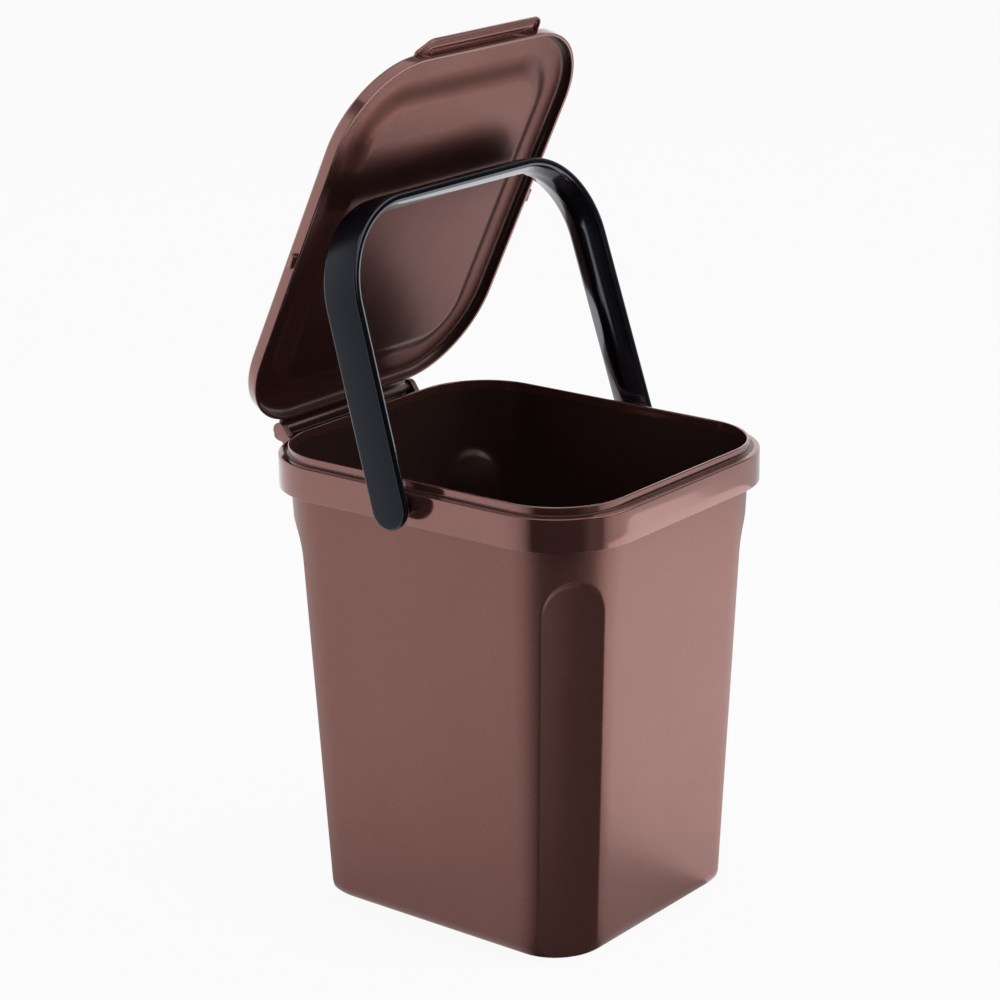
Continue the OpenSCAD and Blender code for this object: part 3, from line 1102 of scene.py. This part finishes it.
        def level(inset: float, drop: float) -> np.ndarray:
            """Draw the tab's outline in and lower it.

            Args:
                inset: Distance inside the outline.
                drop: Distance under the border's top.

            Returns:
                Points of the outline.
            """
            rows = []
            for k, (x, y) in enumerate(plan):
                along = np.array(plan[min(k + 1, count - 1)]) - np.array(plan[max(k - 1, 0)])
                normal = np.array([-along[1], along[0]]) / np.linalg.norm(along)
                if k in (0, count - 1):
                    normal = np.array([np.sign(x), 0.0])
                rows.append([x - normal[0] * inset, min(y - normal[1] * inset, root),
                             self.top - drop])
            return np.array(rows)

        lip_sides = tuple((inset, lip - rise) for inset, rise in self.tab_lip_rise)
        rings = [level(*ring) for ring in self.tab_crest + lip_sides + self.tab_dish]
        seat, first_drop = 2.2, self.tab_crest[0][1]
        for ring, y, drop in ((rings[0], root + seat, first_drop), (rings[-1], root, lip)):
            ring[:, 1] = y
            ring[:, 2] = self.top - drop
        mesh = mesh_from("grip_tab", (np.concatenate(rings), grid(len(rings), count, False)))
        tidy(mesh, 50)
        with edited(mesh) as work:
            holes = [edge for edge in work.edges if edge.is_boundary]
            bmesh.ops.holes_fill(work, edges=holes, sides=0)
            bmesh.ops.recalc_face_normals(work, faces=work.faces)
        dress(mesh, POLISHED, PANEL, choose=self.tab_finish)
        return make_object("grip_tab", mesh)

    def tab_finish(self, face: bpy.types.MeshPolygon) -> Polypropylene:
        """Choose the finish of a face of the shut tab.

        Args:
            face: The face.

        Returns:
            The panel's finish in the dish, its darker colour painted shade, and polished elsewhere.
        """
        over_lip, tipped = 0.7, -0.3
        in_dish = face.center[2] > (self.top - self.tab_lip + over_lip) * MM
        return PANEL if face.normal[2] < tipped and in_dish else POLISHED

    def leaf(self) -> bpy.types.Object:
        """Build the hinge leaf, its barrel and its two pins.

        Returns:
            The object, shut.
        """
        back, top = self.lid_d / 2 - self.sheet, self.top
        outline = [(back, top - 1.9), (back, top - 0.5)]
        outline += [(y, top - drop) for y, drop in self.leaf_over]
        outline += arc(self.hinge_y, self.hinge_z, self.barrel_d / 2, 40, -200, 30)
        outline += [self.leaf_under, (119.8, top - 2.0)]
        mesh = mesh_from("hinge_leaf", prism(outline[::-1], -self.barrel_x, self.barrel_x))
        tidy(mesh, 30)
        obj = make_object("hinge_leaf", mesh)
        bevelled(obj, self.leaf_round, 2, 50)
        pin_r = self.pin_d / 2
        profile = [(self.barrel_x - self.pin_root, pin_r), (self.pin_x - self.pin_round, pin_r),
                   (self.pin_x, pin_r - self.pin_round)]
        with edited(obj.data) as work:
            for sign in (-1, 1):
                points, faces = lathe_x(profile, sign, 40)
                graft(work, (points + [0, self.hinge_y, self.hinge_z], faces))
            bmesh.ops.recalc_face_normals(work, faces=work.faces)
        dress(obj.data, POLISHED, PAINTED_SHADE, choose=self.leaf_finish)
        smooth(obj.data)
        return obj

    def leaf_finish(self, face: bpy.types.MeshPolygon) -> Polypropylene:
        """Choose polished for a face above or behind, and the darker copy, painted shade, for one
        in the hinge's gap.
        """
        upwards, backwards = face.normal[2] > 0.1, face.normal[1] > 0.3
        # Faces in the hinge's gap get the darker copy as painted shade
        return POLISHED if upwards or backwards else PAINTED_SHADE

    def catches(self) -> bpy.types.Object:
        """Build the two small catches at the middle of the sides.

        Returns:
            The object, shut.
        """
        low, half = self.base_z + self.catch_rise, self.catch_l / 2
        root, tip = self.lid_w / 2 - self.catch_in, self.lid_w / 2 + self.catch_out
        ring = [(root, low), *((tip + x, low + z) for x, z in self.catch_nose), (root, low + 3.4)]
        mesh = mesh_from("side_catches", gather([
            loft([np.array([[sign * x, y, z] for x, z in ring]) for y in (-half, half)])
            for sign in (-1, 1)]))
        tidy(mesh, 30)
        obj = make_object("side_catches", mesh)
        bevelled(obj, self.catch_round)
        dress(obj.data, POLISHED)
        smooth(obj.data)
        return obj

    def build(self) -> list[bpy.types.Object]:
        """Build the lid's pieces and turn them to the open place.

        Returns:
            The pieces, the shell first.
        """
        pieces = [self.shell(), self.tab(), self.leaf(), self.catches()]
        hinge = Vector((0, self.hinge_y, self.hinge_z)) * MM
        turn = Matrix.Rotation(-math.radians(self.open_angle), 4, "X")
        placed(pieces, Matrix.Translation(hinge) @ turn @ Matrix.Translation(-hinge))
        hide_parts("lid")
        return pieces


# ---------------------------------------------------------------------------
# Handle
# ---------------------------------------------------------------------------


@dataclass
class Handle:
    """The handle: a bail of one moulded strap with round ends and snap pins."""

    height: float = 159.0
    width: float = 225.74
    arm_in: float = 5.9
    bend_r: float = 54.0
    strap_w: float = 23.4
    strap_t: float = 8.2
    face_depth: float = 0.6
    slope: Point2 = (0.47, 0.995)
    pivot_z: float = 253.2
    pivot_d: float = 7.5
    head_d: float = 8.8
    boss_d: float = 13.0
    boss_x: float = 100.4
    pin_in: float = 97.5
    lean: float = 16.6
    # The strap's section. Crown: depth, and share of the half width
    crown: tuple[Point2, ...] = ((0.0, 0.0), (0.03, 0.2), (0.11, 0.4), (0.25, 0.6))
    # Rounded outer edge: depth, and distance in from the strap's side
    edge: tuple[Point2, ...] = (
        (0.42, 2.4), (0.55, 1.2), (0.68, 0.7), (0.88, 0.32), (1.15, 0.08), (1.45, 0.0))
    # Side and sloped inner edge: share of the thickness, and distance in from the strap's side
    flank: tuple[Point2, ...] = (
        (0.42, 0.0), (0.46, 0.06), (0.5, 0.19), (0.6, 0.5), (0.64, 1.0), (0.7, 2.2), (0.79, 4.1),
        (0.88, 6.0), (0.94, 7.4), (0.985, 8.6), (1.0, 9.5))

    def half_section(self) -> list[Point2]:
        """Draw half of the strap's section.

        Returns:
            Points as depth from the outer face and distance from the middle line.
        """
        w, t = self.strap_w / 2, self.strap_t
        crown = [(depth, share * w) for depth, share in self.crown]
        edge = [(depth, w - inwards) for depth, inwards in self.edge]
        flank = [(share * t, w - inwards) for share, inwards in self.flank]
        return crown + edge + flank + [(t, 0.0)]

    def corners(self) -> list[Point2]:
        """Give the corners of the line that the strap's outer face follows, upright."""
        half, top = self.width / 2, self.height
        return [(-half, 0.0), (self.arm_in - half, top), (half - self.arm_in, top), (half, 0.0)]

    def bail(self) -> Sweep:
        """Make the node tree that rounds the bail's corners and carries the section along it.

        Returns:
            The tree.
        """
        sweep = Sweep("bail")
        corners = {
            f"Point {k}": sweep.size(f"Corner {k}", "NodeSocketVector") for k in range(1, 5)}
        radius, steps = sweep.size("Bend radius"), sweep.size("Bend steps", "NodeSocketInt")
        line = sweep.node("GeometryNodeCurvePrimitiveQuadrilateral", corners, mode="POINTS")
        line_open = sweep.node("GeometryNodeSetSplineCyclic", {
            "Geometry": line.outputs[0], "Cyclic": False})
        bent = sweep.node("GeometryNodeFilletCurve", {
            "Curve": line_open.outputs[0], "Radius": radius, "Count": steps}, mode="POLY")
        skin = sweep.node("GeometryNodeCurveToMesh", {
            "Curve": bent.outputs[0], "Profile Curve": sweep.profile()})
        sweep.finish(skin.outputs[0], FINISHES[SATIN.name])
        return sweep

    def strap(self) -> bpy.types.Object:
        """Carry the section along the bail and close its ends with half discs.

        Returns:
            The object, upright with the pivots on the X axis.
        """
        half = self.half_section()
        ring = half + [(d, -s) for d, s in half[::-1][1:-1]]
        obj = section_object("handle_strap", [(s, d, 0.0) for d, s in ring], True)
        values = {f"Corner {k}": (x * MM, 0.0, z * MM)
                  for k, (x, z) in enumerate(self.corners(), 1)}
        self.bail().apply(obj, {**values, "Bend radius": self.bend_r * MM, "Bend steps": 36})
        line = [np.array([x, 0.0, z]) for x, z in self.corners()]
        with edited(obj.data) as work:
            for end, near in ((line[0], line[1]), (line[3], line[2])):
                way = (end - near) / np.linalg.norm(end - near)
                inward = np.array([-np.sign(end[0]) * abs(way[2]), 0.0, abs(way[0])])
                rows = []
                for angle in np.linspace(0, math.pi, 25):
                    out = way * math.sin(angle) + np.array([0, 1, 0]) * math.cos(angle)
                    rows.append(np.array([end + inward * d + out * s for d, s in half]))
                graft(work, (np.concatenate(rows), grid(len(rows), len(half), False)))
        tidy(obj.data, 30, FINE)
        dress(obj.data, SATIN, GLOSS_BLACK, PAINTED_HIGHLIGHT, choose=self.strap_finish)
        return obj

    def strap_finish(self, face: bpy.types.MeshPolygon) -> Polypropylene:
        """Choose the finish of a face of the upright strap by its depth under the outer face.

        Args:
            face: The face.

        Returns:
            Satin outside, a painted highlight on the slope and polished elsewhere.
        """
        x, z = abs(face.center[0]) / MM, face.center[2] / MM
        lean = math.atan(self.arm_in / self.height)
        arm_x, bend_z = self.width / 2, self.height - self.bend_r
        bend_x = arm_x - (self.bend_r + bend_z * math.sin(lean)) / math.cos(lean)
        if x < bend_x:
            depth = self.height - z
        elif math.atan2(z - bend_z, x - bend_x) > lean:
            depth = self.bend_r - math.hypot(x - bend_x, z - bend_z)
        else:
            depth = (arm_x - x) * math.cos(lean) - z * math.sin(lean)
        if depth < self.face_depth:
            return SATIN
        # The slope's finish is a painted highlight
        return PAINTED_HIGHLIGHT if self.slope[0] < depth / self.strap_t < self.slope[1] else GLOSS_BLACK

    def pivots(self) -> bpy.types.Object:
        """Build the spacer bosses, pins and snap heads.

        Returns:
            The object, with the pivots on the X axis.
        """
        boss, pin, head = self.boss_d / 2, self.pivot_d / 2, self.head_d / 2
        tip, seat = self.pin_in, self.boss_x
        inner = self.width / 2 - self.strap_t + 0.5
        profile = [(tip - 1.8, pin - 0.9), (tip - 1.5, pin - 0.5), (tip - 0.8, head - 0.1),
                   (tip - 0.3, head), (tip - 0.1, head - 0.1), (tip, pin)]
        profile += [(seat, pin), (seat, boss - 0.5), (seat + 0.15, boss - 0.15),
                    (seat + 0.5, boss), (inner, boss), (inner + 0.6, boss + 0.6),
                    (inner + 1.4, boss + 0.7)]
        mesh = mesh_from("handle_pivots", gather([lathe_x(profile, sign) for sign in (-1, 1)]))
        tidy(mesh, 35)
        dress(mesh, GLOSS_BLACK)
        return make_object("handle_pivots", mesh)

    def build(self) -> list[bpy.types.Object]:
        """Build the handle's pieces and lean them back to the rest place.

        Returns:
            The pieces, the strap first.
        """
        pieces = [self.strap(), self.pivots()]
        turn = Matrix.Rotation(-math.radians(self.lean), 4, "X")
        placed(pieces, Matrix.Translation((0, 0, self.pivot_z * MM)) @ turn)
        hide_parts("handle")
        return pieces


# ---------------------------------------------------------------------------
# Studio
# ---------------------------------------------------------------------------


def bare_tree(owner: bpy.types.Material | bpy.types.World) -> bpy.types.NodeTree:
    """Give a material or world an empty node tree.

    Args:
        owner: The material or world.

    Returns:
        The tree.
    """
    owner.use_nodes = True
    owner.node_tree.nodes.clear()
    return owner.node_tree


def end_mixed(tree: bpy.types.NodeTree, output: str, share: bpy.types.NodeSocket,
              first: bpy.types.Node, second: bpy.types.Node) -> None:
    """End a tree in the mix of two shaders.

    Args:
        tree: The tree.
        output: Blender's type name of the output node.
        share: Socket with the second shader's share.
        first: The first shader's node.
        second: The second shader's node.
    """
    mixed = add_node(tree, "ShaderNodeMixShader", {
        0: share, 1: first.outputs[0], 2: second.outputs[0]})
    add_node(tree, output, {"Surface": mixed.outputs[0]})


def seen_ray(tree: bpy.types.NodeTree) -> bpy.types.NodeSocket:
    """Tell whether a ray comes from the camera, a reflection or a transmission.

    Args:
        tree: The tree that asks.

    Returns:
        Socket with 1 for such a ray and 0 for any other.
    """
    path = add_node(tree, "ShaderNodeLightPath")
    seen = path.outputs["Is Camera Ray"]
    for other in ("Is Glossy Ray", "Is Transmission Ray"):
        seen = add_node(tree, "ShaderNodeMath", {0: seen, 1: path.outputs[other]},
                        operation="MAXIMUM").outputs[0]
    return seen


@dataclass(frozen=True)
class SoftBox:
    """A rectangular lamp, in metres and watts, that the camera doesn't see."""

    name: str
    place: Point3
    target: Point3
    size: Point2
    power: float

    def hang(self) -> None:
        """Put the lamp in the scene and turn it to its target."""
        data = bpy.data.lights.new(self.name, "AREA")
        data.shape, data.energy = "RECTANGLE", self.power
        data.size, data.size_y = self.size
        lamp = bpy.data.objects.new(self.name, data)
        bpy.context.scene.collection.objects.link(lamp)
        lamp.location = self.place
        lamp.visible_camera = False
        way = Vector(self.target) - Vector(self.place)
        lamp.rotation_euler = way.to_track_quat("-Z", "Y").to_euler()


# Large and high in front, for the bucket's front and the band
KEY = SoftBox("key", (0.9, -1.6, 1.6), (0, 0, 0.2), (2.2, 1.6), 18)
# Faint and on the floor beside the front, for the sheen low on the walls
SIDE = SoftBox("side", (0.35, -0.35, 0.004), (0.35, -0.35, 1.0), (0.6, 0.6), 0.78)
# Overhead, for the rim and the soft shadow
TOP = SoftBox("top", (-0.2, 0.1, 2.2), (0, 0, 0.2), (2.4, 2.4), 12)


@dataclass
class Studio:
    """Camera, floor, world and lamps."""

    eye_mm: Point3 = (-1286.43, -1010.25, 751.85)
    azimuth: float = -51.48
    elevation: float = 17.71
    roll: float = -0.92
    lens: float = 111.47
    sensor: float = 36.0
    world_light: float = 0.3
    white_share: float = 0.93
    floor_half: float = 6.0
    floor_grey: float = 0.9
    card_grey: float = 0.01
    fan_centre: Point2 = (-0.052, -0.067)
    fan_reach: float = 2.3
    fan_clear: float = 0.0006
    # Angles in degrees from the camera's side, each with how black the dark side is there
    fade: tuple[Point2, ...] = (
        (-74, 0.0), (-56, 0.18), (-46, 0.45), (-35, 1.0), (27, 1.0), (40, 0.85), (54, 0.88),
        (58, 0.42), (70, 0.15), (88, 0.0), (114, 0.05), (132, 0.3), (165, 0.35))
    wall_fade: tuple[Point2, ...] = (
        (-74, 0.0), (-56, 0.18), (-46, 0.45), (-35, 1.0), (106, 1.0), (128, 0.0), (165, 0.0))
    # Heights and radii of the two round cards, each radius with how black the card is there
    ceiling_z: float = 2.35
    ceiling: tuple[Point2, ...] = ((0.001, 0.8), (2.0, 0.8), (2.6, 0.6), (3.6, 0.0))
    shade_z: float = 0.0009
    shade: tuple[Point2, ...] = ((0.06, 0.4), (0.12, 0.4), (0.2, 0.24), (0.32, 0.08), (0.5, 0.0))

    def camera(self) -> None:
        """Place the camera at the photograph's viewing angle."""
        a, e, r = (math.radians(v) for v in (self.azimuth, self.elevation, self.roll))
        back = Vector((math.sin(a) * math.cos(e), -math.cos(a) * math.cos(e), math.sin(e)))
        right = Vector((math.cos(a), math.sin(a), 0))
        up = back.cross(right)
        x = right * math.cos(r) + up * math.sin(r)
        y = -right * math.sin(r) + up * math.cos(r)
        data = bpy.data.cameras.new("camera")
        data.lens, data.sensor_width = self.lens, self.sensor
        data.clip_start, data.clip_end = 0.05, 50.0
        camera = bpy.data.objects.new("camera", data)
        bpy.context.scene.collection.objects.link(camera)
        turn = Matrix((x, y, back)).transposed().to_4x4()
        camera.matrix_world = Matrix.Translation(Vector(self.eye_mm) * MM) @ turn
        bpy.context.scene.camera = camera

    def backdrop(self) -> None:
        """Make the white world, which lights the object only faintly."""
        world = bpy.data.worlds.new("studio")
        bpy.context.scene.world = world
        tree = bare_tree(world)
        plain, white = (
            add_node(tree, "ShaderNodeBackground", {"Color": (1, 1, 1, 1), "Strength": strength})
            for strength in (self.world_light, 1.0))
        end_mixed(tree, "ShaderNodeOutputWorld", seen_ray(tree), plain, white)

    def floor(self) -> None:
        """Lay a white floor that keeps the object's soft shadow."""
        half, grey = self.floor_half, self.floor_grey
        mesh = bpy.data.meshes.new("floor")
        mesh.from_pydata([(-half, -half, 0), (half, -half, 0), (half, half, 0), (-half, half, 0)],
                         [], [(0, 1, 2, 3)])
        floor = make_object("floor", mesh)
        material = bpy.data.materials.new("floor_white")
        tree = bare_tree(material)
        share = add_node(tree, "ShaderNodeMath", {0: seen_ray(tree), 1: self.white_share},
                         operation="MULTIPLY")
        paint = add_node(tree, "ShaderNodeBsdfDiffuse", {"Color": (grey, grey, grey, 1)})
        white = add_node(tree, "ShaderNodeEmission", {"Color": (1, 1, 1, 1), "Strength": 1.0})
        end_mixed(tree, "ShaderNodeOutputMaterial", share.outputs[0], paint, white)
        mesh.materials.append(material)

    def fan(self, name: str, reach: list[Point2], fade: tuple[Point2, ...]) -> None:
        """Turn a line about the object into a black card.

        Args:
            name: Name of the card.
            reach: The line's points as distance from the object and height.
            fade: Angles from the camera's side in degrees, each with how black the card is there.
        """
        towards = self.azimuth - 90
        centre = Vector((*self.fan_centre, 0))
        angles = np.arange(-90, 166, 1.5)
        points = []
        for angle in angles:
            turn = math.radians(towards + float(angle))
            way = Vector((math.cos(turn), math.sin(turn), 0))
            points += [tuple(centre + way * radius + Vector((0, 0, z))) for radius, z in reach]
        rows = len(reach)
        depth = np.repeat(np.interp(angles, *zip(*fade)), rows)
        self.card(name, points, grid(len(angles), rows, False), depth)

    def rings(self, name: str, height: float, depths: tuple[Point2, ...]) -> None:
        """Make a round black card from rings.

        Args:
            name: Name of the card.
            height: Height of the card.
            depths: Radii, each with how black the card is there.
        """
        around = 48
        turn = np.linspace(0, 2 * math.pi, around, endpoint=False)
        points = [(r * math.cos(a), r * math.sin(a), height) for r, _ in depths for a in turn]
        depth = np.repeat([depth for _, depth in depths], around)
        self.card(name, points, grid(len(depths), around, True), depth)

    def card(self, name: str, points: list[Point3], faces: Faces, depth: np.ndarray) -> None:
        """Make a black card that fades out where its depth falls, and that only reflections show.

        Args:
            name: Name of the card.
            points: Its points.
            faces: Its faces.
            depth: How black it is at each point, from 0 to 1.
        """
        mesh = bpy.data.meshes.new(name)
        mesh.from_pydata(points, [], faces)
        shade = mesh.attributes.new("shade", "FLOAT", "POINT")
        shade.data.foreach_set("value", depth.astype(np.float32))
        card = make_object(name, mesh)
        material = bpy.data.materials.new(f"{name}_black")
        tree, grey = bare_tree(material), self.card_grey
        amount = add_node(tree, "ShaderNodeAttribute", attribute_name="shade")
        clear = add_node(tree, "ShaderNodeBsdfTransparent")
        black = add_node(tree, "ShaderNodeBsdfDiffuse", {"Color": (grey, grey, grey, 1)})
        end_mixed(tree, "ShaderNodeOutputMaterial", amount.outputs["Fac"], clear, black)
        mesh.materials.append(material)
        card.visible_camera = card.visible_shadow = card.visible_diffuse = False

    def build(self) -> None:
        """Set up everything that isn't the object.

        The cards are the studio's dark side: floor and wall towards the camera between the soft
        boxes, the ceiling, and the shade round the object's foot.
        """
        self.camera()
        self.backdrop()
        self.floor()
        far, low = self.fan_reach, self.fan_clear
        self.fan("dark_floor", [(0.0, low), (0.5, low), (far, low)], self.fade)
        self.fan("dark_wall", [(far, low), (far, 0.7), (far, 2.4)], self.wall_fade)
        self.rings("dim_ceiling", self.ceiling_z, self.ceiling)
        self.rings("shade_round_foot", self.shade_z, self.shade)
        for lamp in (KEY, SIDE, TOP):
            lamp.hang()
        bpy.context.scene.view_settings.view_transform = "Standard"


def main() -> None:
    """Build the caddy piece by piece and report each piece."""
    logging.basicConfig(level=logging.INFO, format="%(name)s: %(message)s")
    for finish in (GRAINED, POLISHED, PANEL, PAINTED_SHADE, SATIN, GLOSS_BLACK, PAINTED_HIGHLIGHT):
        FINISHES[finish.name] = finish.build()
    for body, maker in ((Body.BUCKET, Bucket()), (Body.LID, Lid()), (Body.HANDLE, Handle())):
        for piece in maker.build():
            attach(piece, body.value)
            LOG.info("%s: %d faces on %s", piece.name, len(piece.data.polygons), body.value)
    Studio().build()


if __name__ == "__main__":
    main()
